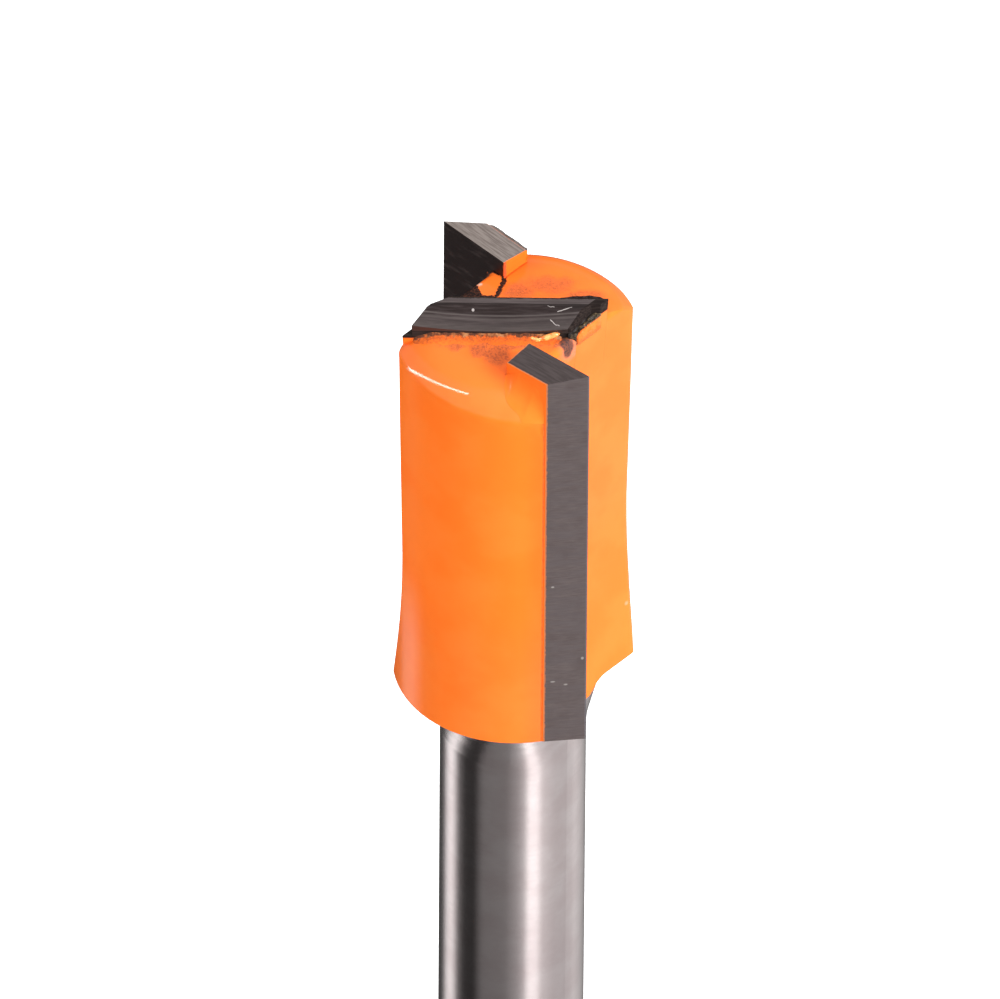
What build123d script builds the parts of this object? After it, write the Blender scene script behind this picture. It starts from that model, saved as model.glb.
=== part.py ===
from build123d import *
from math import cos, radians, sin, sqrt, tan
import os

# A straight two flute router bit that stands on the end of its shank.
# Origin at the centre of the shank's end face, +Z along the axis to the cutting end.
# Wing a carries its tip on the +X side, and wing b is the same wing turned half round.
# Seen from the cutting end the bit turns anticlockwise. All sizes are in millimetres.

# Driving dimensions of the whole bit
shank_diameter = 12.0
shank_length = 50.0
cutting_length = 40.0
cutting_diameter = 22.0

# Ends of the shank: a chamfer at the bottom, and a cone that widens up to the head's flat underside
shank_end_chamfer = 0.5
cone_length = 5.2
cone_top_diameter = 14.4
cone_fillet_radius = 0.6
cone_blend_radius = 12.0

# Head, inside the cutting circle and below the cutting corners
body_clearance = 1.1
tip_stand = 2.1
head_edge_radius = 0.6
trailing_edge_radius = 0.5

# Shoulder of each wing, turned off centre so that it is rounder behind the tip than at the trailing edge
shoulder_radius = 4.1
shoulder_clearance = 0.53
shoulder_shift = 0.62
shoulder_angle = -160.0

# Gullets, each ground by a wheel that comes in above the flare and runs out through the top
hook_angle = 15.0
gullet_wall = 4.35
gullet_wheel_radius = 50.0
gullet_centre_from_top = 25.5
gullet_taper_angle = 2.4
gullet_corner_radius = 0.6

# Brazed side tips
tip_thickness = 2.65
tip_inner_end = 4.0
side_relief_angle = 26.0
end_relief_angle = 8.6
end_dish_angle = 4.0

# Brazed centre tip, a plate set across the web
plate_angle = 42.0
plate_thickness = 2.55
plate_behind_axis = 0.25
plate_height = 7.0
plate_drop = 0.1
crest_land = 0.7
plate_bevel_angle = 38.0
plate_wheel_radius = 55.0
plate_wheel_offset = -1.4
chip_reach = 0.57
chip_depth = 2.6
crest_worn_length = 1.6
crest_worn_depth = 1.5
crest_worn_angle = 30.0
plate_end_setback = 0.65

# Solder between a tip and its seat
braze_thickness = 0.12

# Length by which a cutting shape runs past what it cuts
overrun = 5.0

# Sizes that follow from the driving dimensions, with reach as far out as a cutting shape has to go
head_bottom = shank_length
overall_length = head_bottom + cutting_length
head_top = overall_length - tip_stand
shank_radius = shank_diameter / 2
cone_top_radius = cone_top_diameter / 2
cutting_radius = cutting_diameter / 2
body_radius = cutting_radius - body_clearance
wheel_centre_z = overall_length - gullet_centre_from_top
taper = radians(gullet_taper_angle)
run_out_x = gullet_wall + gullet_wheel_radius * (1 - cos(taper))
run_out_z = wheel_centre_z + gullet_wheel_radius * sin(taper)
wall_at_top = run_out_x + (overall_length - run_out_z) * tan(taper)
rake_y = -cutting_radius * sin(radians(hook_angle))
edge_x = cutting_radius * cos(radians(hook_angle))
back_y = rake_y - tip_thickness
plate_back = plate_behind_axis
plate_front = plate_behind_axis - plate_thickness
plate_top = overall_length - plate_drop
plate_floor = plate_top - plate_height
reach = cutting_radius + overrun
above = overall_length + overrun

# How close two places count as one
same_place = 0.01

half_turn = Rot(0, 0, 180)
plate_frame = Rot(0, 0, plate_angle)


def block(x_low, x_high, y_low, y_high, z_low, z_high):
    """A box between two corners."""
    low = (Align.MIN, Align.MIN, Align.MIN)
    size = Box(x_high - x_low, y_high - y_low, z_high - z_low, align=low)
    return Pos(x_low, y_low, z_low) * size


def turned_blank():
    """Shank, cone and head as they come off the lathe."""
    with BuildPart() as blank:
        with BuildSketch(Plane.XZ) as outline:
            with BuildLine():
                Polyline(
                    (0, 0),
                    (shank_radius - shank_end_chamfer, 0),
                    (shank_radius, shank_end_chamfer),
                    (shank_radius, head_bottom - cone_length),
                    (cone_top_radius, head_bottom),
                    (body_radius, head_bottom),
                    (body_radius, head_top),
                    (0, head_top),
                    (0, 0),
                )
            make_face()
            for radius, height, rounding in (
                (shank_radius, head_bottom - cone_length, cone_blend_radius),
                (cone_top_radius, head_bottom, cone_fillet_radius),
                (body_radius, head_top, head_edge_radius),
            ):
                fillet(outline.vertices().sort_by_distance((radius, height, 0))[0], rounding)
        revolve(axis=Axis.Z)
    return blank.part


def gullet_sweep():
    """What the wheel takes for gullet a: its rim leaves the wall, its flat side the rake face."""
    low_z = head_bottom - cone_length
    low_x = wall_at(low_z)
    high_x = wall_at(above)
    with BuildPart() as sweep:
        with BuildSketch(Plane.XZ.offset(-rake_y)):
            with BuildLine():
                ThreePointArc((low_x, low_z), (gullet_wall, wheel_centre_z), (run_out_x, run_out_z))
                Polyline(
                    (run_out_x, run_out_z),
                    (high_x, above),
                    (reach, above),
                    (reach, low_z),
                    (low_x, low_z),
                )
            make_face()
        extrude(amount=rake_y - reach)
        fillet(sweep.edges().group_by(Axis.Y)[0].filter_by(lies_on_wall), gullet_corner_radius)
    return sweep.part


def wall_at(z):
    """How far a gullet's wall stands from the middle plane at a height."""
    if z > run_out_z:
        return run_out_x + (z - run_out_z) * tan(taper)
    return gullet_wall + gullet_wheel_radius - sqrt(gullet_wheel_radius**2 - (wheel_centre_z - z) ** 2)


def lies_on_wall(edge):
    """Whether the middle of an edge lies on the wall of a gullet."""
    point = edge @ 0.5
    return abs(abs(point.X) - wall_at(point.Z)) < same_place


def side_tip():
    """Carbide tip a, ground on its rake face, its outer side and its end."""
    slope = radians(hook_angle + side_relief_angle)
    back_x = edge_x - tip_thickness * tan(slope)
    with BuildPart() as tip:
        with BuildSketch(Plane.XY.offset(head_bottom)):
            with BuildLine():
                Polyline(
                    (edge_x, rake_y),
                    (back_x, back_y),
                    (tip_inner_end, back_y),
                    (tip_inner_end, rake_y),
                    (edge_x, rake_y),
                )
            make_face()
        extrude(amount=above - head_bottom)
    fall = (-tan(radians(end_dish_angle)), -tan(radians(end_relief_angle)), 1)
    ground_end = Plane(origin=(edge_x, rake_y, overall_length), z_dir=fall)
    return split(tip.part, bisect_by=ground_end, keep=Keep.BOTTOM)


def side_seat():
    """Seat of tip a in its wing, with room for solder behind, inside and below the tip."""
    return block(
        tip_inner_end - braze_thickness,
        reach,
        back_y - braze_thickness,
        rake_y,
        head_bottom - braze_thickness,
        above,
    )


def centre_plate():
    """Carbide plate along the local X axis: a narrow land at its crest, and a hollow bevel in front."""
    plate = block(-reach, reach, plate_front, plate_back, plate_floor, plate_top)
    crest_y = plate_back - crest_land
    bevel = Plane(
        origin=(0, crest_y, plate_top),
        x_dir=(1, 0, 0),
        z_dir=(0, -sin(radians(plate_bevel_angle)), cos(radians(plate_bevel_angle))),
    )
    rim = Rot(90, 0, 0) * Cylinder(plate_wheel_radius, 4 * plate_thickness)
    return plate - bevel * Pos(plate_wheel_offset, 0, plate_wheel_radius) * rim


def chipped_corner():
    """What has broken out of the plate at wing b's gullet wall, in front of the crest."""
    broken = block(wall_at_top - chip_reach, reach, -reach, reach, plate_top - chip_depth, above)
    in_front = block(0, reach, -reach, plate_back - crest_land, 0, above)
    return broken & (plate_frame * in_front)


def worn_corner():
    """What is worn off the other end of the crest, a slanting slice of its land."""
    crest_end = (plate_back * sin(radians(plate_angle)) - wall_at_top) / cos(radians(plate_angle))
    start = Pos(crest_end + crest_worn_length, plate_back, 0) * Rot(0, 0, crest_worn_angle)
    worn = block(-overrun, 0, 0, overrun, plate_top - crest_worn_depth, above)
    return plate_frame * start * worn


def ground_end():
    """What is ground off the plate's end over gullet b, above the web."""
    return block(-reach, plate_end_setback - wall_at_top, -reach, 0, head_top, above)


def centre_seat():
    """Slot for the plate, straight across the web from gullet to gullet."""
    return plate_frame * block(
        -reach,
        reach,
        plate_front - braze_thickness,
        plate_back + braze_thickness,
        plate_floor - braze_thickness,
        above,
    )


def trails(edge):
    """Whether an edge runs between a gullet's wall and the outside or the top of a wing."""
    point = edge @ 0.5
    return point.X * point.Y > 0 and point.Z > head_bottom + same_place and lies_on_wall(edge)


def shoulder_waste():
    """What is turned off wing a's shoulder, all outside a round edged cap that stands off centre."""
    with BuildPart() as cap:
        Cylinder(body_radius + shoulder_clearance, 4 * shoulder_radius)
        fillet(cap.edges().sort_by(Axis.Z)[-1], shoulder_radius)
    off_centre = Rot(0, 0, shoulder_angle) * Pos(shoulder_shift, 0, head_top - 2 * shoulder_radius)
    return block(-reach, reach, -reach, 0, head_top - shoulder_radius, above) - off_centre * cap.part


def fluted_body(sweeps):
    """The blank with both gullets ground, and the wings' trailing edges and shoulders rounded."""
    with BuildPart() as fluted:
        add(turned_blank() - sweeps)
        fillet(fluted.edges().filter_by(trails), trailing_edge_radius)
    waste = shoulder_waste()
    return fluted.part - [waste, half_turn * waste]


sweep_a = gullet_sweep()
sweep_b = half_turn * sweep_a
fluted = fluted_body([sweep_a, sweep_b])

cutting_tip_a = side_tip()
cutting_tip_b = half_turn * cutting_tip_a
wear = [chipped_corner(), worn_corner(), ground_end()]
centre_tip = plate_frame * centre_plate() - [sweep_a, sweep_b] - wear

seat_a = side_seat()
seat_b = half_turn * seat_a
seat_centre = centre_seat()

body = fluted - seat_a - seat_b - seat_centre
braze_a = (fluted & seat_a) - cutting_tip_a - seat_centre
braze_b = (fluted & seat_b) - cutting_tip_b - seat_centre
braze_centre = (fluted & seat_centre) - centre_tip - seat_a - seat_b

nodes = {
    "body": body,
    "cutting_tip_a": cutting_tip_a,
    "cutting_tip_b": cutting_tip_b,
    "centre_tip": centre_tip,
    "braze_a": braze_a,
    "braze_b": braze_b,
    "braze_centre": braze_centre,
}

os.makedirs("parts", exist_ok=True)
for name, shape in nodes.items():
    export_step(shape, f"parts/{name}.step")
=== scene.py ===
import math

import bpy
import numpy as np
from mathutils import Matrix


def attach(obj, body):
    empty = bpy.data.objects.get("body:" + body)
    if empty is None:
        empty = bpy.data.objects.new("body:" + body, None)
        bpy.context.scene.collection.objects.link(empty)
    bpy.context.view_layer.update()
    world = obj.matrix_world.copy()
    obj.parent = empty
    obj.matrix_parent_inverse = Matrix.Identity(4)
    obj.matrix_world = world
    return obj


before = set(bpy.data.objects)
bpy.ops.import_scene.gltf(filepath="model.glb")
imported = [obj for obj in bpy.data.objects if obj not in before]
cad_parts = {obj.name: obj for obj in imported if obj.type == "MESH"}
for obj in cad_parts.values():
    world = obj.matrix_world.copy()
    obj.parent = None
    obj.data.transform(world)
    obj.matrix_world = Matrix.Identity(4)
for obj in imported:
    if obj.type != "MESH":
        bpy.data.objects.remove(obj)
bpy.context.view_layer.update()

# The finish of a straight router bit: glossy orange coating, ground carbide, burnt flux and
# a polished shank. Millimetres below are turned into Blender's metres by MM.
MM = 0.001

# Places of the solid model that the finishes and the added pieces need, in millimetres
WING_TOP = 87.9
CUTTING_TOP = 90.0
TIP_BACK = -5.497
TIP_INNER_END = 4.0
TIP_RAKE = -2.847
TIP_EDGE = 10.625
DISH = math.tan(math.radians(4.0))
RELIEF = math.tan(math.radians(8.6))
CAP_CENTRE = (-0.583, -0.212)
CAP_FLAT = 6.33
CAP_ROUND = 4.1
BODY_RADIUS = 9.9
PLATE_TURN = math.radians(42.0)
PLATE_FRONT = -2.3
PLATE_BACK = 0.25
CREST_FRONT = PLATE_BACK - 0.7
PAINT_END = 49.1

# Roughness of the paint and of its clear coat
PAINT_ROUGHNESS = 0.3
COAT_ROUGHNESS = 0.08

# Radii of soft edges: the tips' ground edges, the painted edges, and the shoulders' outer edges
TIP_ROUNDING = 0.05 * MM
PAINT_ROUNDING = 0.12 * MM
SHOULDER_ROUNDING = 0.85 * MM

# Burnt patches before and behind the centre tip: place along and across it, then half of
# their length and depth
FRONT_BURNS = (
    (-4.85, -3.3, 0.95, 0.95),
    (-2.9, -3.9, 1.0, 1.2),
    (-1.5, -4.6, 1.5, 1.6),
    (-0.4, -3.2, 2.4, 0.9),
)
REAR_BURNS = ((2.6, 4.0, 3.4, 1.5), (5.7, 2.6, 2.4, 1.3), (0.2, 3.3, 1.8, 1.3))

# Scratches on the centre tip's bevel: where each starts and ends, along and across the tip
SCRATCHES = (
    ((3.34, -1.11, 0.0), (4.5, -0.84, 0.0)),
    ((2.8, -1.58, 0.0), (3.48, -2.04, 0.0)),
    ((2.55, -0.7, 0.0), (3.0, -0.86, 0.0)),
)
SCRATCH_WIDTH = 0.035

# Corners of the island of paint on the web beside tip b, anticlockwise
ISLAND = (
    (-5.14, 0.77), (-3.81, 0.04), (-3.07, 0.73), (-3.85, 2.47), (-4.25, 2.92), (-5.59, 2.57),
)


# Short calls for node trees

class Net:
    """A node tree that is filled by short calls. Each call returns the output it made."""

    def __init__(self, tree):
        self.tree = tree
        tree.nodes.clear()

    def put(self, kind, settings=None, inputs=None, out=0):
        """Adds a node with its settings and inputs, and returns one of its outputs."""
        node = self.tree.nodes.new(kind)
        for key, value in (settings or {}).items():
            setattr(node, key, value)
        for key, value in (inputs or {}).items():
            self.feed(node.inputs[key], value)
        return node.outputs[out] if node.outputs else node

    def feed(self, socket, value):
        """Links a socket to an output, or sets its value. None leaves it as it is."""
        if isinstance(value, bpy.types.NodeSocket):
            self.tree.links.new(value, socket)
        elif value is not None:
            socket.default_value = value

    def math(self, operation, a, b=None):
        """One operation on numbers."""
        inputs = {0: a}
        if b is not None:
            inputs[1] = b
        return self.put("ShaderNodeMath", {"operation": operation}, inputs)

    def plus(self, a, b):
        return self.math("ADD", a, b)

    def minus(self, a, b):
        return self.math("SUBTRACT", a, b)

    def times(self, a, b):
        return self.math("MULTIPLY", a, b)

    def over(self, a, b):
        return self.math("DIVIDE", a, b)

    def vmath(self, operation, a, b=None, scale=None, out=0):
        """One operation on vectors. Output 1 is its number, output 0 its vector."""
        inputs = {0: a}
        if b is not None:
            inputs[1] = b
        if scale is not None:
            inputs["Scale"] = scale
        return self.put("ShaderNodeVectorMath", {"operation": operation}, inputs, out)

    def step(self, value, low, high, to_low=0.0, to_high=1.0):
        """A soft step: to_low below low, to_high above high."""
        settings = {"interpolation_type": "SMOOTHSTEP"}
        inputs = {0: value, 1: low, 2: high, 3: to_low, 4: to_high}
        return self.put("ShaderNodeMapRange", settings, inputs)

    def fade(self, value, low, high):
        """A soft step down: 1 below low, 0 above high."""
        return self.step(value, low, high, 1.0, 0.0)

    def sway(self, value, depth):
        """Noise as an offset to both sides of 0, of about half the depth each."""
        return self.times(self.minus(value, 0.5), depth)

    def mix(self, factor, a, b):
        """Colour a where factor is 0, colour b where it is 1."""
        node = self.tree.nodes.new("ShaderNodeMix")
        node.data_type = "RGBA"
        self.feed(node.inputs[0], factor)
        self.feed(node.inputs[6], a)
        self.feed(node.inputs[7], b)
        return node.outputs[2]

    def blend(self, factor, a, b):
        """Number a where factor is 0, number b where it is 1."""
        node = self.tree.nodes.new("ShaderNodeMix")
        self.feed(node.inputs[0], factor)
        self.feed(node.inputs[2], a)
        self.feed(node.inputs[3], b)
        return node.outputs[0]

    def noise(self, where, scale, detail=2.0, rough=0.5):
        """Cloudy noise from about 0 to 1, with scale waves to the millimetre."""
        inputs = {"Vector": where, "Scale": scale, "Detail": detail, "Roughness": rough}
        return self.put("ShaderNodeTexNoise", {}, inputs)

    def ramp(self, value, stops):
        """A colour for each value. A stop is a place from 0 to 1 and the colour there."""
        node = self.tree.nodes.new("ShaderNodeValToRGB")
        elements = node.color_ramp.elements
        while len(elements) < len(stops):
            elements.new(0.5)
        for element, (place, colour) in zip(elements, stops):
            element.position = place
            element.color = colour
        self.feed(node.inputs[0], value)
        return node.outputs[0]

    def all_of(self, *masks):
        """The product of masks: 1 where all of them are."""
        result = masks[0]
        for mask in masks[1:]:
            result = self.times(result, mask)
        return result

    def any_of(self, *masks):
        """The greatest of masks."""
        result = masks[0]
        for mask in masks[1:]:
            result = self.math("MAXIMUM", result, mask)
        return result

    def inverse(self, mask):
        """1 where a mask is 0, and the other way round."""
        return self.minus(1.0, mask)


def rgb(red, green, blue):
    """Linear colour of a plain eight bit colour."""
    parts = [c / 255 for c in (red, green, blue)]
    linear = (c / 12.92 if c <= 0.04045 else ((c + 0.055) / 1.055) ** 2.4 for c in parts)
    return (*linear, 1.0)


class Surface(Net):
    """A material: millimetre coordinates of the object, and one Principled shader at the end."""

    def __init__(self, name):
        self.material = bpy.data.materials.new(name)
        self.material.use_nodes = True
        super().__init__(self.material.node_tree)
        place = self.put("ShaderNodeTexCoord", out=3)
        self.place = self.vmath("SCALE", place, scale=1000.0)
        parts = self.tree.nodes.new("ShaderNodeSeparateXYZ")
        self.feed(parts.inputs[0], self.place)
        self.x, self.y, self.z = parts.outputs

    def turned(self, angle):
        """The coordinates in a frame turned by angle about the bit's axis, and their x and y."""
        inputs = {"Vector": self.place, "Axis": (0, 0, 1), "Angle": -angle}
        turned = self.put("ShaderNodeVectorRotate", {"rotation_type": "AXIS_ANGLE"}, inputs)
        parts = self.tree.nodes.new("ShaderNodeSeparateXYZ")
        self.feed(parts.inputs[0], turned)
        return turned, parts.outputs[0], parts.outputs[1]

    def stretched(self, where, x, y, z):
        """Coordinates scaled along each axis, so that a pattern runs along the short one."""
        return self.vmath("MULTIPLY", where, (x, y, z))

    def spot(self, centre, radii, where=None, soft=0.5, wobble=None):
        """A soft ellipsoid: 1 inside, 0 outside its radii."""
        away = self.vmath("SUBTRACT", where or self.place, centre)
        away = self.vmath("DIVIDE", away, radii)
        size = self.vmath("LENGTH", away, out=1)
        if wobble is not None:
            size = self.plus(size, wobble)
        return self.fade(size, soft, 1.0)

    def inside(self, corners):
        """Depth inside a convex outline: the least distance to its sides, below 0 outside."""
        depth = None
        for (x0, y0), (x1, y1) in zip(corners, corners[1:] + corners[:1]):
            length = math.hypot(x1 - x0, y1 - y0)
            inwards = ((y0 - y1) / length, (x1 - x0) / length, 0.0)
            offset = inwards[0] * x0 + inwards[1] * y0
            side = self.minus(self.vmath("DOT_PRODUCT", self.place, inwards, out=1), offset)
            depth = side if depth is None else self.math("MINIMUM", depth, side)
        return depth

    def line(self, where, start, end, width):
        """A thin straight line: 1 close to it, 0 farther away than its width."""
        run = tuple(b - a for a, b in zip(start, end))
        away = self.vmath("SUBTRACT", where, start)
        part = self.over(self.vmath("DOT_PRODUCT", away, run, out=1), sum(c * c for c in run))
        part = self.math("MINIMUM", self.math("MAXIMUM", part, 0.0), 1.0)
        nearest = self.vmath("SCALE", run, scale=part)
        return self.fade(self.vmath("DISTANCE", away, nearest, out=1), width * 0.4, width)

    def below_tip_end(self, x, y):
        """How far a place is below a side tip's ground end. x and y are those it has on tip a."""
        end = self.plus(self.times(x, DISH), self.times(y, RELIEF))
        end = self.plus(end, CUTTING_TOP - DISH * TIP_EDGE - RELIEF * TIP_RAKE)
        return self.minus(end, self.z)

    def on_face(self, distance):
        """1 on a flat face, 0 a hair's breadth from it. distance is in millimetres."""
        return self.fade(distance, 0.01, 0.02)

    def finish(self, colour, metallic, roughness, height, relief, coat,
               coat_roughness=COAT_ROUGHNESS, specular=0.0, edge=None):
        """Joins the shader. relief is the height of the bumps in millimetres, and edge the
        radius of soft edges in metres."""
        normal = None
        if edge is not None:
            normal = self.put("ShaderNodeBevel", {"samples": 8}, {"Radius": edge})
        bumps = {"Height": height, "Distance": relief * MM, "Normal": normal}
        shader = self.put("ShaderNodeBsdfPrincipled", {}, {
            "Base Color": colour,
            "Metallic": metallic,
            "Roughness": roughness,
            "Specular IOR Level": specular,
            "Coat Weight": coat,
            "Coat Roughness": coat_roughness,
            "Normal": self.put("ShaderNodeBump", {}, bumps),
        })
        self.put("ShaderNodeOutputMaterial", {}, {0: shader})
        return self.material


# Finishes

def coating(s):
    """Glossy orange paint: an even colour with a faint cloud and fine specks of dust."""
    cloud = s.noise(s.place, 0.22, 3.0)
    colour = s.mix(s.step(cloud, 0.35, 0.65), rgb(255, 117, 37), rgb(255, 123, 44))
    dust = s.step(s.noise(s.place, 2.6, 4.0, 0.7), 0.715, 0.75)
    return s.mix(s.times(dust, 0.3), colour, rgb(214, 92, 34))


def orange_peel(s):
    """The shallow waves in the surface of the paint."""
    return s.noise(s.place, 1.5, 2.0)


def bare_steel(s):
    """Ground and polished steel: fine rings round the shank, a little darker towards its end."""
    rings = s.noise(s.stretched(s.place, 0.4, 0.4, 26.0), 1.0, 3.0, 0.6)
    cloud = s.noise(s.place, 0.35, 3.0)
    colour = s.mix(s.step(cloud, 0.3, 0.7), rgb(226, 211, 212), rgb(236, 224, 225))
    colour = s.mix(s.times(s.step(rings, 0.5, 0.8), 0.35), colour, rgb(196, 190, 190))
    colour = s.mix(s.step(s.z, 14.0, 36.0, 0.25, 0.0), colour, rgb(172, 160, 162))
    rough = s.blend(s.step(rings, 0.35, 0.75), 0.13, 0.2)
    return colour, rough, rings


def body_material():
    """The body: paint on the head, burnt and bare where it was brazed, and bare steel below."""
    s = Surface("coated_and_ground_steel")
    plate_place, along, across = s.turned(PLATE_TURN)
    wander = s.noise(s.place, 0.9, 3.0)
    fray = s.minus(s.noise(s.place, 3.5, 3.0, 0.6), 0.5)
    grit = s.noise(s.place, 5.5, 3.0, 0.65)
    paint_low = s.plus(s.z, s.sway(wander, 0.8))
    painted = s.step(paint_low, PAINT_END - 0.04, PAINT_END + 0.04)
    steel, steel_rough, rings = bare_steel(s)

    # What the brazing has burnt: patches before and behind the centre tip, and a band before it
    near_top = s.step(s.z, WING_TOP - 1.6, WING_TOP - 0.6)
    shift = s.sway(wander, 1.6)
    speck = s.step(grit, 0.47, 0.6)
    fine_speck = s.step(s.noise(s.place, 9.0, 2.0, 0.6), 0.55, 0.66)
    half_shift = s.times(shift, 0.5)

    def burns(places, soft):
        return s.any_of(*(
            s.spot((x, y, WING_TOP), (wide, deep, 1.5), plate_place, soft, half_shift)
            for x, y, wide, deep in places))

    patches, rear = burns(FRONT_BURNS, 0.45), burns(REAR_BURNS, 0.3)
    front_band = s.all_of(
        s.step(across, PLATE_FRONT - 1.7, PLATE_FRONT - 0.8),
        s.fade(across, PLATE_FRONT, PLATE_FRONT + 0.1),
        s.step(along, -7.0, -5.5))
    burnt = s.all_of(near_top, s.any_of(
        s.times(patches, s.blend(speck, 0.66, 0.84)),
        s.times(rear, s.blend(fine_speck, 0.6, 0.95)),
        s.times(front_band, s.blend(speck, 0.3, 0.75))))
    burnt_colour = s.mix(s.step(grit, 0.48, 0.62), rgb(206, 103, 62), rgb(176, 86, 58))
    colour = s.mix(burnt, coating(s), burnt_colour)

    # The paint is thicker and darker along the solder behind each side tip
    same_wing = s.fade(s.times(s.x, s.y), -20.0, -10.0)
    beside_tip = s.all_of(s.fade(s.math("ABSOLUTE", s.y), 5.5, 7.2), same_wing)
    colour = s.mix(s.times(beside_tip, 0.5), colour, rgb(228, 96, 34))

    # The corner of the web by tip b: bare dark steel round an island of paint, ringed by painted
    # shadow
    island_depth = s.plus(s.inside(ISLAND), s.times(fray, 0.5))
    island = s.step(island_depth, 0.0, 0.06)
    corner = s.spot((-4.7, 0.1, WING_TOP), (1.3, 1.9, 1.2), wobble=s.times(shift, 0.25), soft=0.8)
    # The ring just outside the island is painted shadow of its lifted edge; soot holds it with the
    # burnt steel
    flake_shadow_ring = s.step(island_depth, -0.42, -0.3)
    soot = s.all_of(s.any_of(corner, flake_shadow_ring), s.inverse(island), near_top, s.fade(s.x, -2.9, -2.7))
    colour = s.mix(soot, colour, s.mix(speck, rgb(46, 35, 33), rgb(92, 56, 44)))
    scraped = s.spot((-4.95, 0.95, WING_TOP), (0.4, 0.35, 0.5), soft=0.2, wobble=fray)
    colour = s.mix(s.all_of(scraped, island, 0.8), colour, rgb(238, 206, 186))

    # A dark smear of flux with lilac edges, from the corner of the web down the wall of gullet a
    smear = s.spot((5.1, 0.55, 87.6), (1.0, 0.7, 1.4), soft=0.6, wobble=s.times(shift, 0.4))
    halo = s.spot((5.2, 0.75, 87.3), (1.2, 1.5, 1.9), soft=0.3, wobble=half_shift)
    colour = s.mix(s.times(halo, s.blend(speck, 0.4, 0.65)), colour, rgb(200, 138, 118))
    colour = s.mix(s.times(smear, s.blend(speck, 0.8, 0.95)), colour, rgb(70, 58, 58))

    # A nick where the paint is chipped off the trailing edge
    nick = s.spot((5.75, 7.75, 54.6), (0.5, 0.5, 0.45), wobble=s.times(shift, 0.3))
    colour = s.mix(nick, colour, rgb(250, 214, 196))

    colour = s.mix(painted, steel, colour)
    harm = s.any_of(burnt, soot, smear)
    rough = s.blend(painted, steel_rough, s.blend(harm, PAINT_ROUGHNESS, 0.62))
    metallic = s.blend(painted, 1.0, s.times(soot, 0.5))

    # The coat is thickest near the foot, on the shoulders and in the gullets
    from_axis = s.vmath("LENGTH", s.vmath("MULTIPLY", s.place, (1, 1, 0)), out=1)
    foot = s.step(s.z, 56.0, 66.0, 0.75, 0.07)
    top = s.step(s.z, 85.7, 87.0, 0.0, 0.45)
    gullet = s.all_of(s.step(from_axis, 9.76, 9.87, 0.9, 0.0), s.fade(s.z, 87.2, 87.6))
    gloss = s.times(painted, s.blend(harm, s.any_of(foot, top, gullet), 0.06))

    # The paint rounds the shoulders' outer edges widely and all other edges narrowly
    shoulder_edge = s.all_of(
        s.step(from_axis, 8.4, 9.0), s.step(s.z, 83.4, 84.4), s.fade(s.z, 87.4, 87.8))
    rounding = s.blend(shoulder_edge, PAINT_ROUNDING, SHOULDER_ROUNDING)
    height = s.blend(painted, s.times(rings, 0.12), s.times(orange_peel(s), 0.5))
    height = s.plus(height, s.times(s.times(harm, grit), 3.5))
    height = s.minus(height, s.plus(nick, s.times(soot, 1.5)))
    height = s.plus(height, s.times(painted, 1.2))
    return s.finish(colour, metallic, rough, height, relief=0.03, coat=gloss, edge=rounding)


def ground_carbide(s, along_marks):
    """Sintered carbide: grey with a brown cast, streaks along the wheel's path, and fine pits."""
    streak = s.noise(along_marks, 1.0, 4.0, 0.62)
    broad = s.noise(along_marks, 0.3, 2.0)
    cloud = s.noise(s.place, 0.5, 3.0)
    colour = s.mix(s.step(streak, 0.3, 0.72), rgb(115, 103, 102), rgb(130, 118, 117))
    colour = s.mix(s.times(s.step(broad, 0.35, 0.7), 0.5), colour, rgb(119, 110, 112))
    colour = s.mix(s.times(s.step(cloud, 0.5, 0.8), 0.35), colour, rgb(102, 89, 87))
    pits = s.step(s.noise(s.place, 7.0, 2.0, 0.7), 0.72, 0.78)
    colour = s.mix(s.times(pits, 0.5), colour, rgb(170, 160, 158))
    rough = s.blend(s.step(streak, 0.3, 0.7), 0.36, 0.5)
    return colour, rough, streak, pits


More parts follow.
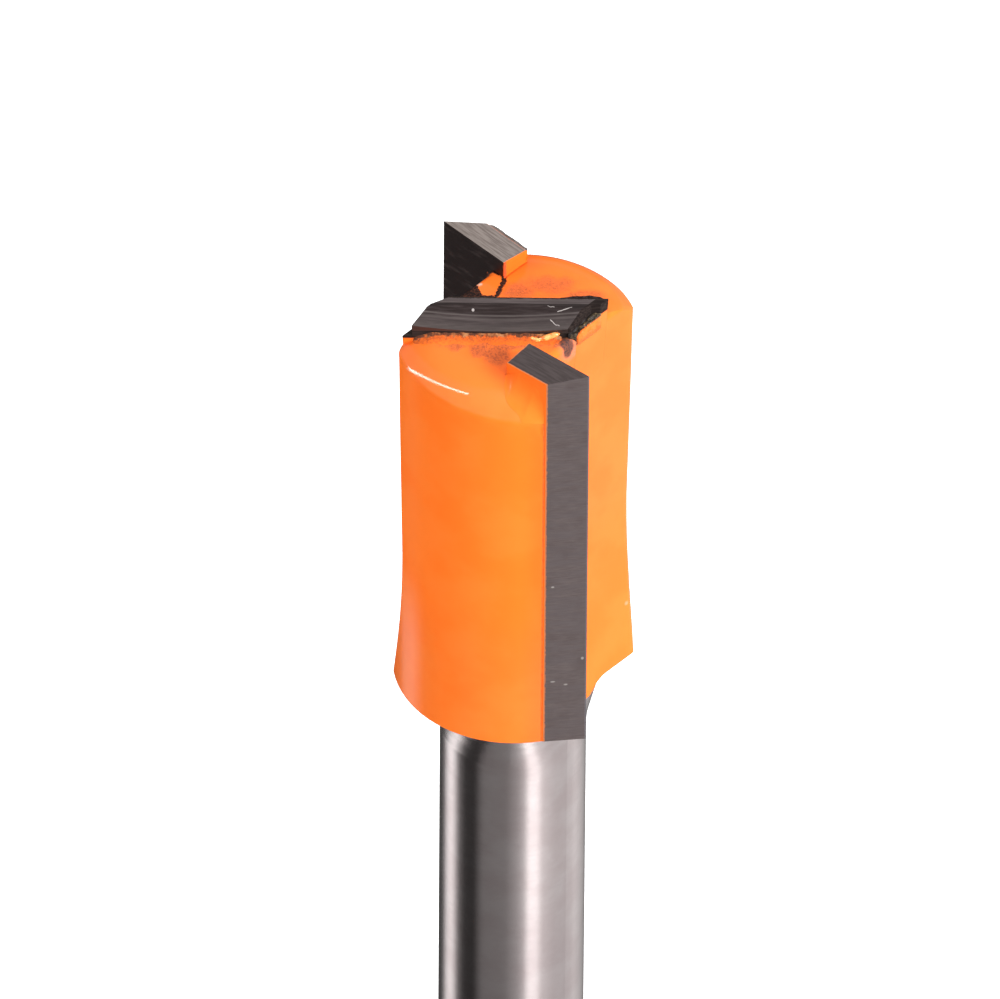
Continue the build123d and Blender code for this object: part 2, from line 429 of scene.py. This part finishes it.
def side_tip_material(name, turn, specks, lit_end_dark, lit_end_light, back_rim):
    """A side tip: ground on its outer side, end and rake face, painted on its back and inner end.
    turn brings it to tip a's place, and back_rim is the strength of the rim along its back."""
    s = Surface(name)
    place, x, y = s.turned(turn)
    marks = s.stretched(place, 0.9, 0.9, 9.0)
    colour, rough, streak, pits = ground_carbide(s, marks)

    # The end was ground across the tip, so its marks run along x. Its greys are painted light
    end_marks = s.noise(s.stretched(place, 0.55, 6.0, 0.55), 1.0, 3.0, 0.6)
    on_end = s.fade(s.below_tip_end(x, y), 0.01, 0.03)
    end_colour = s.mix(s.step(end_marks, 0.35, 0.65), rgb(*lit_end_dark), rgb(*lit_end_light))
    colour = s.mix(on_end, colour, end_colour)

    # The rake face was lapped finer; its darker colour is painted shade, and it keeps a faint grey
    # smear
    on_rake = s.on_face(s.math("ABSOLUTE", s.minus(y, TIP_RAKE)))
    smear = s.noise(s.stretched(place, 0.5, 1.0, 1.6), 1.0, 3.0)
    rake_shade_colour = s.mix(s.step(smear, 0.5, 0.78), rgb(58, 46, 45), rgb(92, 80, 78))
    colour = s.mix(on_rake, colour, rake_shade_colour)

    # Paint on the faces that no wheel has touched, and a thin light rim on the faces beside them
    wander = s.sway(s.noise(s.place, 3.0, 3.0), 0.12)
    off_back = s.minus(y, TIP_BACK)
    off_inner = s.minus(x, TIP_INNER_END)
    ragged = s.plus(y, s.times(wander, 5.0))
    inner_paint = s.times(s.on_face(off_inner), s.fade(ragged, TIP_RAKE - 0.34, TIP_RAKE - 0.28))
    painted = s.any_of(s.on_face(off_back), inner_paint)
    rim_back = s.fade(s.plus(off_back, wander), 0.08, 0.13)
    rim_inner = s.fade(s.plus(off_inner, wander), 0.06, 0.1)
    rim = s.times(s.any_of(s.times(rim_back, back_rim), rim_inner), 0.8)
    colour = s.mix(rim, colour, rgb(250, 150, 96))
    colour = s.mix(painted, colour, coating(s))

    # A bright line along the cutting edge
    from_edge = s.minus(TIP_EDGE, x)
    keen = s.all_of(s.fade(from_edge, 0.03, 0.1), s.inverse(on_rake))
    colour = s.mix(s.times(keen, 0.5), colour, rgb(150, 150, 160))

    # Light specks of dust
    if specks:
        light = s.any_of(*(s.spot(centre, size, soft=0.4) for centre, size in specks))
        colour = s.mix(s.times(light, 0.8), colour, rgb(206, 198, 194))

    metallic = s.times(s.inverse(painted), 0.85)
    rough = s.blend(painted, rough, PAINT_ROUGHNESS)
    height = s.plus(s.times(streak, 0.6), s.times(pits, 0.4))
    return s.finish(colour, metallic, rough, height, relief=0.007, coat=s.times(painted, 0.3),
                    coat_roughness=0.1, edge=TIP_ROUNDING)


def centre_tip_material():
    """The centre tip: stripes from the wheel on its hollow bevel, and a rougher land and ends."""
    s = Surface("carbide_centre_tip")
    place, _, across = s.turned(PLATE_TURN)
    marks = s.stretched(place, 0.35, 7.0, 7.0)
    colour, rough, streak, pits = ground_carbide(s, marks)

    # Three passes of the wheel left stripes of different grey down the bevel
    land = s.step(across, CREST_FRONT - 0.05, CREST_FRONT + 0.02)
    down = s.over(s.minus(CREST_FRONT, across), CREST_FRONT - PLATE_FRONT)
    stripes = s.ramp(down, [
        (0.00, rgb(62, 54, 53)), (0.12, rgb(50, 42, 41)), (0.40, rgb(54, 46, 45)),
        (0.45, rgb(96, 88, 86)), (0.50, rgb(58, 50, 49)), (0.58, rgb(88, 80, 78)),
        (0.66, rgb(72, 64, 63)), (0.95, rgb(86, 78, 76)),
    ])
    bevel = s.mix(s.times(s.step(streak, 0.35, 0.7), 0.16), stripes, colour)
    land_colour = s.mix(s.step(streak, 0.35, 0.7), rgb(92, 82, 81), rgb(114, 103, 102))
    colour = s.mix(land, bevel, land_colour)
    land_edge = s.times(s.step(across, CREST_FRONT - 0.1, CREST_FRONT - 0.04), s.inverse(land))
    colour = s.mix(s.times(land_edge, 0.8), colour, rgb(36, 30, 29))

    # Soot along the back of the crest; the broken faces at both ends get the same dark colour
    wander = s.sway(s.noise(s.place, 2.2, 4.0, 0.7), 0.3)
    back = s.step(s.plus(across, wander), PLATE_BACK - 0.16, PLATE_BACK - 0.1)
    broken_end = s.step(s.x, 4.62, 4.66)
    other_end = s.fade(s.x, -5.0, -4.96)
    foot = s.fade(s.z, 88.42, 88.52)
    soot = s.any_of(back, broken_end, s.times(other_end, 0.7), foot)
    colour = s.mix(soot, colour, s.mix(s.step(streak, 0.4, 0.7), rgb(38, 32, 31), rgb(66, 56, 52)))

    # Paint on the plate's end in gullet a, and on all of it near the web
    notch_side = s.all_of(s.step(s.x, 5.2, 5.26), s.fade(s.z, 88.65, 88.8))
    overpaint = s.any_of(notch_side, s.fade(s.z, 87.55, 87.75))

    # Whitish scratches near the broken end and one white speck
    bent = s.vmath("ADD", place, s.sway(s.noise(place, 1.4), 0.4))
    flat = s.vmath("MULTIPLY", bent, (1, 1, 0))
    scratch = s.any_of(*(s.line(flat, start, end, SCRATCH_WIDTH) for start, end in SCRATCHES))
    white = s.spot((-3.49, -0.95, 89.6), (0.14, 0.14, 0.3), where=place, soft=0.5)
    colour = s.mix(s.times(s.any_of(scratch, white), 0.75), colour, rgb(224, 214, 210))
    colour = s.mix(overpaint, colour, coating(s))

    metallic = s.times(s.blend(soot, 0.85, 0.2), s.inverse(overpaint))
    rough = s.blend(overpaint, s.blend(soot, rough, 0.7), PAINT_ROUGHNESS)
    height = s.plus(s.times(streak, 0.7), s.times(pits, 0.4))
    return s.finish(colour, metallic, rough, height, relief=0.006, coat=s.times(overpaint, 0.9),
                    edge=TIP_ROUNDING)


def solder_material():
    """Solder round the centre tip: burnt brown and black, with paint on its lower part."""
    s = Surface("burnt_solder")
    blotch = s.noise(s.place, 2.4, 4.0, 0.65)
    colour = s.mix(s.step(blotch, 0.42, 0.58), rgb(150, 92, 58), rgb(70, 44, 36))
    painted = s.fade(s.z, 87.5, 87.7)
    colour = s.mix(painted, colour, coating(s))
    rough = s.blend(painted, s.blend(s.step(blotch, 0.4, 0.6), 0.4, 0.65), PAINT_ROUGHNESS)
    return s.finish(colour, 0.0, rough, blotch, relief=0.02, coat=s.times(painted, 0.9))


def painted_solder_material():
    """Solder of a side tip under the same paint, a little darker than the wing beside it."""
    s = Surface("painted_solder")
    lump = s.noise(s.place, 3.0, 3.0)
    colour = s.mix(s.step(lump, 0.35, 0.7), rgb(232, 98, 30), rgb(214, 84, 28))
    return s.finish(colour, 0.0, 0.32, lump, relief=0.05, coat=0.3, coat_roughness=0.1)


def dark_solder_material():
    """Bare grey solder behind tip b, with the streaks of the wheel that ground the tip's end."""
    s = Surface("dark_solder")
    streak = s.noise(s.stretched(s.place, 0.6, 6.0, 1.0), 1.0, 3.0, 0.6)
    colour = s.mix(s.step(streak, 0.35, 0.65), rgb(92, 80, 75), rgb(142, 130, 124))
    _, x, y = s.turned(math.pi)
    painted = s.step(s.below_tip_end(x, y), 0.3, 0.42)
    colour = s.mix(painted, colour, coating(s))
    rough = s.blend(painted, 0.45, PAINT_ROUGHNESS)
    return s.finish(colour, s.blend(painted, 0.7, 0.0), rough, streak, relief=0.02,
                    coat=s.times(painted, 0.2))


def flux_material():
    """Flux crust: greenish brown slag with dark pores and pale flakes, black along the break."""
    s = Surface("flux_crust")
    lump = s.noise(s.place, 3.2, 4.0, 0.65)
    pore = s.noise(s.place, 7.5, 3.0, 0.6)
    colour = s.ramp(lump, [
        (0.3, rgb(36, 29, 22)), (0.48, rgb(60, 50, 38)),
        (0.58, rgb(92, 78, 56)), (0.7, rgb(158, 132, 98)),
    ])
    colour = s.mix(s.step(pore, 0.5, 0.6), colour, rgb(40, 33, 28))
    fray = s.sway(pore, 0.35)
    break_line = s.fade(s.plus(s.x, fray), 4.86, 4.94)
    colour = s.mix(break_line, colour, rgb(30, 25, 24))
    outside = s.all_of(s.step(s.plus(s.x, fray), 5.26, 5.3), s.fade(s.z, 88.5, 88.7))
    colour = s.mix(outside, colour, coating(s))
    rough = s.blend(s.step(pore, 0.4, 0.6), 0.4, 0.75)
    return s.finish(colour, 0.0, rough, lump, relief=0.12, coat=0.1, coat_roughness=0.3,
                    specular=0.2)


def paint_material():
    """The same coating where it lies over a bead or a fillet of solder."""
    s = Surface("orange_coating")
    return s.finish(coating(s), 0.0, PAINT_ROUGHNESS, orange_peel(s), relief=0.02, coat=0.12,
                    coat_roughness=0.12)


def front_fill_material():
    """Paint over the solder in front of the plate, burnt towards it, with a pale and dark line."""
    s = Surface("burnt_paint_front")
    _, _, across = s.turned(PLATE_TURN)
    grit = s.noise(s.place, 5.5, 3.0, 0.65)
    fray = s.sway(s.noise(s.place, 3.0, 4.0, 0.65), 1.0)
    away = s.plus(s.minus(PLATE_FRONT, across), fray)
    colour = coating(s)
    red = s.fade(away, 0.3, 1.1)
    strength = s.times(red, s.blend(s.step(grit, 0.45, 0.6), 0.55, 0.9))
    colour = s.mix(strength, colour, rgb(176, 80, 44))
    line = s.fade(away, 0.12, 0.3)
    broad = s.noise(s.place, 1.6, 3.0, 0.6)
    line_colour = s.ramp(broad, [
        (0.36, rgb(176, 122, 82)), (0.46, rgb(142, 84, 52)), (0.56, rgb(92, 58, 44)),
    ])
    colour = s.mix(line, colour, line_colour)
    return s.finish(colour, 0.0, s.blend(red, 0.32, 0.6), grit, relief=0.08,
                    coat=s.blend(red, 0.3, 0.05), coat_roughness=0.1)


def back_fill_material():
    """Solder behind the plate: sooty beside the crest, burnt below, and painted at its foot."""
    s = Surface("burnt_paint_back")
    grit = s.noise(s.place, 5.5, 3.0, 0.65)
    level = s.plus(s.z, s.sway(s.noise(s.place, 2.5, 4.0, 0.65), 0.9))
    colour = coating(s)
    burnt = s.step(level, 88.3, 88.9)
    strength = s.times(burnt, s.blend(s.step(grit, 0.42, 0.58), 0.45, 0.95))
    colour = s.mix(strength, colour, rgb(138, 70, 44))
    soot = s.step(level, 88.95, 89.15)
    colour = s.mix(soot, colour, s.mix(s.step(grit, 0.45, 0.6), rgb(34, 28, 27), rgb(62, 52, 50)))
    return s.finish(colour, 0.0, s.blend(burnt, 0.32, 0.62), grit, relief=0.08,
                    coat=s.blend(burnt, 0.3, 0.05), coat_roughness=0.1)


def bead_material():
    """A bead of solder under a thin glossy coat of paint, pale where it shows through."""
    s = Surface("coated_bead")
    patch = s.noise(s.place, 2.2, 3.0)
    colour = s.mix(s.step(patch, 0.4, 0.62), rgb(255, 186, 104), rgb(255, 128, 48))
    return s.finish(colour, 0.0, 0.22, patch, relief=0.04, coat=1.0, coat_roughness=0.05,
                    specular=0.5)


# Pieces that the solid model leaves to this file

def new_piece(name, points, faces, material):
    """A mesh from points in millimetres and lists of faces, smooth shaded, riding on the bit."""
    mesh = bpy.data.meshes.new(name)
    mesh.from_pydata((points * MM).tolist(), [], faces)
    mesh.polygons.foreach_set("use_smooth", np.ones(len(mesh.polygons), dtype=bool))
    mesh.materials.append(material)
    piece = bpy.data.objects.new(name, mesh)
    bpy.context.collection.objects.link(piece)
    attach(piece, "root")
    return piece


def enclosed(points, quads):
    """Volume inside closed quads: a sixth of the sum of triple products, above 0 facing out."""
    a, b, c, d = (points[quads[:, k]] for k in range(4))
    return np.sum(a * (np.cross(b, c) + np.cross(c, d))) / 6


def slab(name, top, under, material):
    """A closed crust: a grid of points on top, the same grid below, and a wall round the rims."""
    rows, columns = top.shape[:2]
    number = np.arange(rows * columns).reshape(rows, columns)
    corners = (number[:-1, :-1], number[1:, :-1], number[1:, 1:], number[:-1, 1:])
    upper = np.stack(corners, -1).reshape(-1, 4)
    rim = np.concatenate([number[:-1, 0], number[-1, :-1], number[:0:-1, -1], number[0, :0:-1]])
    after = np.roll(rim, -1)
    count = number.size
    wall = np.stack([after, rim, rim + count, after + count], -1)
    quads = np.vstack([upper, upper[:, ::-1] + count, wall])
    points = np.vstack([top.reshape(-1, 3), under.reshape(-1, 3)])
    if enclosed(points, quads) < 0:
        quads = quads[:, ::-1]
    return new_piece(name, points, quads.tolist(), material)


def bead(name, start, end, radius, material, seed):
    """A lumpy bead of solder from start to end. Its circles stand square to the line, with the
    radius of an ellipse times one plus small waves, and a point closes each end."""
    rings, sides = 40, 20
    start, end = np.asarray(start), np.asarray(end)
    t = np.linspace(0.01, 0.99, rings)[:, None]
    angle = np.linspace(0, 2 * np.pi, sides, endpoint=False)[None, :]
    ahead = (end - start) / np.linalg.norm(end - start)
    across = np.cross(ahead, (0, 0, 1))
    across /= np.linalg.norm(across)
    above = np.cross(across, ahead)
    size = radius * np.sqrt(1 - (2 * t - 1) ** 2) * (1 + 0.14 * relief(6 * t, np.cos(angle), seed))
    centre = start + (end - start) * t
    points = (centre[:, None, :] + across * (size * np.cos(angle))[..., None]
              + above * (size * np.sin(angle))[..., None]).reshape(-1, 3)
    ring = np.arange(rings - 1)[:, None] * sides
    side = np.arange(sides)[None, :]
    after = (side + 1) % sides
    corners = (ring + side, ring + sides + side, ring + sides + after, ring + after)
    quads = np.stack(corners, -1).reshape(-1, 4)
    if enclosed(points - centre[rings // 2], quads) < 0:
        quads = quads[:, ::-1]
        side, after = after, side
    first, last, base = len(points), len(points) + 1, (rings - 1) * sides
    caps = np.vstack([np.stack([np.full(sides, first), side[0], after[0]], -1),
                      np.stack([np.full(sides, last), base + after[0], base + side[0]], -1)])
    points = np.vstack([points, start, end])
    return new_piece(name, points, quads.tolist() + caps.tolist(), material)


def relief(u, v, seed, waves=9):
    """A smooth random height between about -1 and 1: a sum of sines of different lengths."""
    rng = np.random.default_rng(seed)
    total = 0.0
    for _ in range(waves):
        along, over = rng.uniform(0.5, 3.5), rng.uniform(-3.0, 3.0)
        total = total + np.sin(along * u + over * v + rng.uniform(0, 2 * math.pi))
    return total / math.sqrt(2 * waves)


def plate_point(along, across, z):
    """A point given along and across the centre tip, in the bit's own frame."""
    along, across, z = np.broadcast_arrays(np.asarray(along, dtype=float), across, z)
    c, s = math.cos(PLATE_TURN), math.sin(PLATE_TURN)
    return np.stack([along * c - across * s, along * s + across * c, z], -1)


def shoulder_height(x, y):
    """The head's top: flat, and past each wing's off-centre circle a quarter of a circle down."""
    side = np.where(y < 0, 1.0, -1.0)
    away = np.hypot(side * x - CAP_CENTRE[0], side * y - CAP_CENTRE[1])
    over = np.clip(away - CAP_FLAT, 0, CAP_ROUND - 0.01)
    return WING_TOP - CAP_ROUND + np.sqrt(CAP_ROUND ** 2 - over ** 2)


def tip_end_height(x, y):
    """The ground end of tip a: a plane that falls inwards by the dish, backwards by the relief."""
    return CUTTING_TOP - DISH * (TIP_EDGE - x) - RELIEF * (TIP_RAKE - y)


def half_turned(points):
    """Points on wing a, turned half round to wing b."""
    return points * (-1.0, -1.0, 1.0)


def room_behind_tip(x):
    """How far the head reaches behind a side tip's back, just inside its outer surface."""
    return np.sqrt((BODY_RADIUS - 0.03) ** 2 - x ** 2) + TIP_BACK


def corner_fill(wing, turn, material):
    """Paint in the corner between a tip's back and its shoulder: from the tip's end down to the
    shoulder the height falls as a quarter of an ellipse, over a width that shrinks outwards."""
    x = np.linspace(4.0, 8.22, 70)[:, None]
    t = np.linspace(0, 1, 26)[None, :]
    opening = np.sin(np.clip((x - 3.9) / 1.6, 0, 1) * math.pi / 2)
    full_width = (1.55 + 0.12 * relief(1.2 * x, 0 * x, 31)) * opening
    width = np.clip(np.minimum(full_width, room_behind_tip(x)), 0.02, None)
    y = TIP_BACK + 0.05 - width * t
    x, y, t = np.broadcast_arrays(x, y, t)
    low = shoulder_height(x, y)
    crest = tip_end_height(x, TIP_BACK) - 0.05 - 0.04 * (1 + relief(2.0 * x, 0 * x, 33))
    z = low + (crest - low) * opening * (1 - np.sqrt(1 - (1 - t) ** 2))
    top, under = np.stack([x, y, z], -1), np.stack([x, y, low - 0.4], -1)
    slab("painted_corner_" + wing, turn(top), turn(under), material)


def solder_lip(material):
    """Dark solder that stands behind tip b nearly to its end: a strip with a wavy outer edge."""
    x = np.linspace(4.25, 8.1, 60)[:, None]
    t = np.linspace(0, 1, 8)[None, :]
    full_width = 0.48 + 0.04 * relief(1.6 * x, 0 * x, 41)
    width = np.clip(np.minimum(full_width, room_behind_tip(x)), 0.02, None)
    y = TIP_BACK + 0.03 - width * t
    x, y, t = np.broadcast_arrays(x, y, t)
    z = tip_end_height(x, TIP_BACK) - 0.03 - 0.25 * t ** 4 + 0.02 * relief(4.0 * x, 6.0 * y, 42)
    top, under = np.stack([x, y, z], -1), np.stack([x, y, shoulder_height(x, y) - 0.3], -1)
    slab("solder_lip_b", half_turned(top), half_turned(under), material)


def plate_front_fill(material):
    """Paint over the solder in front of the plate: a fillet whose height falls as a square."""
    along = np.linspace(-8.3, 3.7, 150)[:, None]
    t = np.linspace(0, 1, 24)[None, :]
    ends = np.sqrt(np.clip(1 - ((along + 2.3) / 6.05) ** 8, 0, 1))
    width = (1.0 + 0.22 * relief(1.3 * along, 0 * along, 51)) * (0.1 + 0.9 * ends)
    rise = (0.42 + 0.07 * relief(1.7 * along, 0 * along, 52)) * ends
    across = PLATE_FRONT + 0.04 - width * t
    top = plate_point(along, across, 0.0)
    low = shoulder_height(top[..., 0], top[..., 1])
    under = top.copy()
    bumps = 0.03 * relief(3.0 * along, 4.0 * across, 53) * (1 - t)
    top[..., 2], under[..., 2] = low + (rise + bumps) * (1 - t) ** 2, low - 0.3
    slab("painted_solder_front", top, under, material)


def plate_back_fill(material):
    """Solder behind the plate: flat beside the crest where it stands proud of it, then a fillet
    down to the web whose height falls as a quarter of an ellipse."""
    along = np.linspace(-6.7, 7.05, 160)[:, None]
    t = np.linspace(0, 1, 30)[None, :]
    proud = np.interp(along, (2.2, 3.1), (0.0, 1.0))
    places, widths = (2.3, 3.5, 4.7, 5.95, 6.75, 7.1), (0.02, 0.1, 0.34, 0.42, 0.3, 0.02)
    shelf = np.interp(along, places, widths) * proud
    crest = 89.2 + 0.66 * proud + 0.03 * relief(2.4 * along, 0 * along, 61)
    width = 1.0 + 0.2 * relief(1.1 * along, 0 * along, 62)
    falling = np.clip((t - 0.25) / 0.75, 0, 1)
    across = PLATE_BACK - 0.04 + shelf * np.clip(t / 0.25, 0, 1) + width * falling
    top = plate_point(along, across, 0.0)
    low = shoulder_height(top[..., 0], top[..., 1])
    under = top.copy()
    fall = 1 - np.sqrt(1 - (1 - falling) ** 2)
    top[..., 2], under[..., 2] = low + (crest - low) * fall, low - 0.3
    slab("painted_solder_back", top, under, material)


def notch_crust(material):
    """Flux in the notch broken out of the plate: a lumpy floor that rises towards the crest."""
    inner, outer = 4.74, 5.37
    front, back = PLATE_FRONT - 0.12, CREST_FRONT + 0.05
    x = np.linspace(inner, outer, 40)[:, None]
    t = np.linspace(0, 1, 60)[None, :]
    across = front + t * (back - front)
    y = (across + x * math.sin(PLATE_TURN)) / math.cos(PLATE_TURN)
    x, y, t = np.broadcast_arrays(x, y, t)
    inwards = (outer - x) / (outer - inner)
    z = 88.3 + 0.55 * t + 0.2 * inwards * t + 0.13 * relief(5.0 * x, 3.6 * y, 71)
    top, under = np.stack([x, y, z], -1), np.stack([x, y, 0 * z + 87.2], -1)
    slab("flux_in_notch", top, under, material)


# Stage

AZIMUTH, ELEVATION, ROLL = (math.radians(v) for v in (42.39, 42.71, 0.428))
RIGHT = np.array([math.cos(AZIMUTH), math.sin(AZIMUTH), 0.0])
BACK = np.array([-math.sin(AZIMUTH), math.cos(AZIMUTH), 0.0])
UP = np.array([0.0, 0.0, 1.0])

# The camera stands so many metres from a place on the axis, and is then moved to the left and
# down by so many millimetres
CAMERA_DISTANCE = 2.5
CAMERA_TARGET = np.array([0.0, 0.0, 0.075])
MOVED_LEFT, MOVED_DOWN = 1.242, 5.213

# The picture's scale at that place, and its width in pixels
PIXELS_PER_MM = 12.319
PICTURE_WIDTH = 1000
SENSOR_WIDTH = 36.0

# What the lights aim at, in metres: the middle of the head
HEAD_MIDDLE = np.array([0.0, 0.0, 0.07])

# Light from all round, and the top of the tent that the gloss reflects
EVEN_LIGHT = (0.78, 0.79, 0.8, 1.0)
TENT_TOP = (0.85, 0.85, 0.86, 1.0)
WHITE = (1.0, 1.0, 1.0, 1.0)

# Cards below the tent's top: degrees to the right of the camera, and brightness
CARDS = (
    (-180, 0.1), (-150, 0.05), (-136, 0.2), (-125, 0.85), (-112, 1.15), (-104, 0.75),
    (-95, 0.16), (-82, 0.04), (-62, 0.03), (-48, 0.17), (-10, 0.2), (8, 0.36), (20, 0.6),
    (27, 1.35), (40, 1.35), (48, 0.8), (70, 0.6), (95, 0.56), (118, 0.75), (140, 0.55),
    (160, 0.3), (180, 0.1),
)


def set_camera():
    """The photo's camera: on wing a's side, 43 degrees up, almost without perspective."""
    ahead = math.cos(ELEVATION) * BACK - math.sin(ELEVATION) * UP
    above = math.sin(ELEVATION) * BACK + math.cos(ELEVATION) * UP
    side = RIGHT * math.cos(ROLL) + above * math.sin(ROLL)
    top = above * math.cos(ROLL) - RIGHT * math.sin(ROLL)
    place = CAMERA_TARGET - ahead * CAMERA_DISTANCE - (side * MOVED_LEFT + top * MOVED_DOWN) * MM
    data = bpy.data.cameras.new("camera")
    data.sensor_width = SENSOR_WIDTH
    data.lens = SENSOR_WIDTH * PIXELS_PER_MM / MM * CAMERA_DISTANCE / PICTURE_WIDTH
    data.clip_start, data.clip_end = 0.05, 100.0
    camera = bpy.data.objects.new("camera", data)
    bpy.context.collection.objects.link(camera)
    turn = np.column_stack([side, top, -ahead])
    camera.matrix_world = Matrix.Translation(place) @ Matrix(turn.tolist()).to_4x4()
    bpy.context.scene.camera = camera


def towards(side_angle, elevation):
    """Direction to a place, in degrees to the right of the camera and above the floor."""
    angle, lift = math.radians(side_angle), math.radians(elevation)
    level = -BACK * math.cos(angle) + RIGHT * math.sin(angle)
    return level * math.cos(lift) + UP * math.sin(lift)


def area_light(name, where, distance, length, width, power, along=UP, diffuse=True, glossy=True):
    """A soft rectangular light that faces the head, with its length turned along a direction."""
    where = where / np.linalg.norm(where)
    data = bpy.data.lights.new(name, "AREA")
    data.shape = "RECTANGLE"
    data.energy, data.size, data.size_y = power, width, length
    light = bpy.data.objects.new(name, data)
    bpy.context.collection.objects.link(light)
    side = np.cross(along, where)
    side /= np.linalg.norm(side)
    turn = np.column_stack([side, np.cross(where, side), where])
    place = HEAD_MIDDLE + where * distance
    light.matrix_world = Matrix.Translation(place) @ Matrix(turn.tolist()).to_4x4()
    light.visible_camera = False
    light.visible_diffuse, light.visible_glossy = diffuse, glossy


def set_floor():
    """A white floor that takes the bit's shadow. To the camera it is white."""
    half = 3.0
    mesh = bpy.data.meshes.new("floor")
    corners = [(-half, -half, 0), (half, -half, 0), (half, half, 0), (-half, half, 0)]
    mesh.from_pydata(corners, [], [(0, 1, 2, 3)])
    floor = bpy.data.objects.new("floor", mesh)
    bpy.context.collection.objects.link(floor)
    material = bpy.data.materials.new("white_floor")
    material.use_nodes = True
    n = Net(material.node_tree)
    path = n.tree.nodes.new("ShaderNodeLightPath")
    rays = ("Is Camera Ray", "Is Glossy Ray", "Is Transmission Ray")
    seen = n.any_of(*(path.outputs[ray] for ray in rays))
    matt = n.put("ShaderNodeBsdfDiffuse", {}, {"Color": (0.8, 0.8, 0.8, 1)})
    glow = n.put("ShaderNodeEmission", {}, {"Color": WHITE, "Strength": n.times(seen, 0.62)})
    both = n.put("ShaderNodeAddShader", {}, {0: matt, 1: glow})
    n.put("ShaderNodeOutputMaterial", {}, {0: both})
    mesh.materials.append(material)
    floor.visible_glossy = False


def set_world():
    """White to the camera, even soft light on the object, and for gloss a tent with dark cards."""
    world = bpy.data.worlds.new("studio")
    bpy.context.scene.world = world
    world.use_nodes = True
    n = Net(world.node_tree)
    direction = n.put("ShaderNodeTexCoord", out=0)
    towards_camera = n.vmath("DOT_PRODUCT", direction, tuple(-BACK), out=1)
    to_the_right = n.vmath("DOT_PRODUCT", direction, tuple(RIGHT), out=1)
    angle = n.math("ARCTAN2", to_the_right, towards_camera)
    turn = n.plus(n.over(angle, 2 * math.pi), 0.5)
    cards = n.ramp(turn, [
        ((degrees + 180) / 360, (level, level, level * 0.985, 1.0)) for degrees, level in CARDS])
    height = n.put("ShaderNodeSeparateXYZ", {}, {0: direction}, out=2)
    above = n.step(height, -0.1, 0.3)
    tent = n.mix(above, cards, TENT_TOP)
    path = n.tree.nodes.new("ShaderNodeLightPath")
    gloss = n.any_of(path.outputs["Is Glossy Ray"], path.outputs["Is Transmission Ray"])
    light = n.mix(gloss, EVEN_LIGHT, tent)
    light = n.mix(path.outputs["Is Camera Ray"], light, WHITE)
    back = n.put("ShaderNodeBackground", {}, {"Color": light, "Strength": 1.0})
    n.put("ShaderNodeOutputWorld", {}, {0: back})


def set_stage():
    """Camera, world, floor and lights."""
    bpy.context.scene.view_settings.view_transform = "Standard"
    set_camera()
    set_world()
    set_floor()
    area_light("key", towards(58, 24), distance=1.1, length=0.55, width=0.55, power=14.0)
    area_light("top", towards(10, 70), distance=1.0, length=0.5, width=0.5, power=3.0, glossy=False)
    upper_end, lower_end = towards(-45, 53), towards(-102, 15)
    area_light("strip", upper_end + lower_end, distance=1.2, length=1.25, width=0.075, power=5.5,
               along=lower_end - upper_end, diffuse=False)


# Dressing

def dress():
    """Each node of the solid model gets its finish."""
    painted_solder = painted_solder_material()
    strip_specks = (
        ((8.9, -5.0, 56.6), (0.3, 0.3, 0.12)),
        ((9.6, -4.2, 56.2), (0.25, 0.25, 0.14)),
        ((10.4, -3.1, 59.0), (0.16, 0.16, 0.2)),
        ((8.8, -5.0, 67.1), (0.18, 0.18, 0.12)),
    )
    finishes = {
        "body": body_material(),
        "cutting_tip_a": side_tip_material(
            "carbide_tip_a", turn=0.0, specks=strip_specks,
            lit_end_dark=(84, 75, 74), lit_end_light=(98, 88, 87), back_rim=1.0),
        # Tip b's end greys are painted light, much lighter than tip a's, for the lamps' light its
        # end catches
        "cutting_tip_b": side_tip_material(
            "carbide_tip_b", turn=math.pi, specks=(),
            lit_end_dark=(132, 120, 114), lit_end_light=(166, 154, 147), back_rim=0.0),
        "centre_tip": centre_tip_material(),
        "braze_a": painted_solder,
        "braze_b": painted_solder,
        "braze_centre": solder_material(),
    }
    for name, material in finishes.items():
        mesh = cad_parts[name].data
        if not mesh.materials:
            mesh.materials.append(material)
        for index in range(len(mesh.materials)):
            mesh.materials[index] = material


def add_pieces():
    """Paint, solder and flux that lie on the solids."""
    paint = paint_material()
    corner_fill("a", lambda points: points, paint)
    corner_fill("b", half_turned, paint)
    solder_lip(dark_solder_material())
    plate_front_fill(front_fill_material())
    plate_back_fill(back_fill_material())
    notch_crust(flux_material())
    solder = bead_material()
    bead("solder_bead_corner", (2.3, -1.15, 87.93), (3.35, -0.75, 87.98), 0.2, solder, seed=83)
    bead("solder_bead", (3.15, -0.8, 87.98), (4.15, 0.75, 88.32), 0.26, solder, seed=81)


dress()
add_pieces()
set_stage()
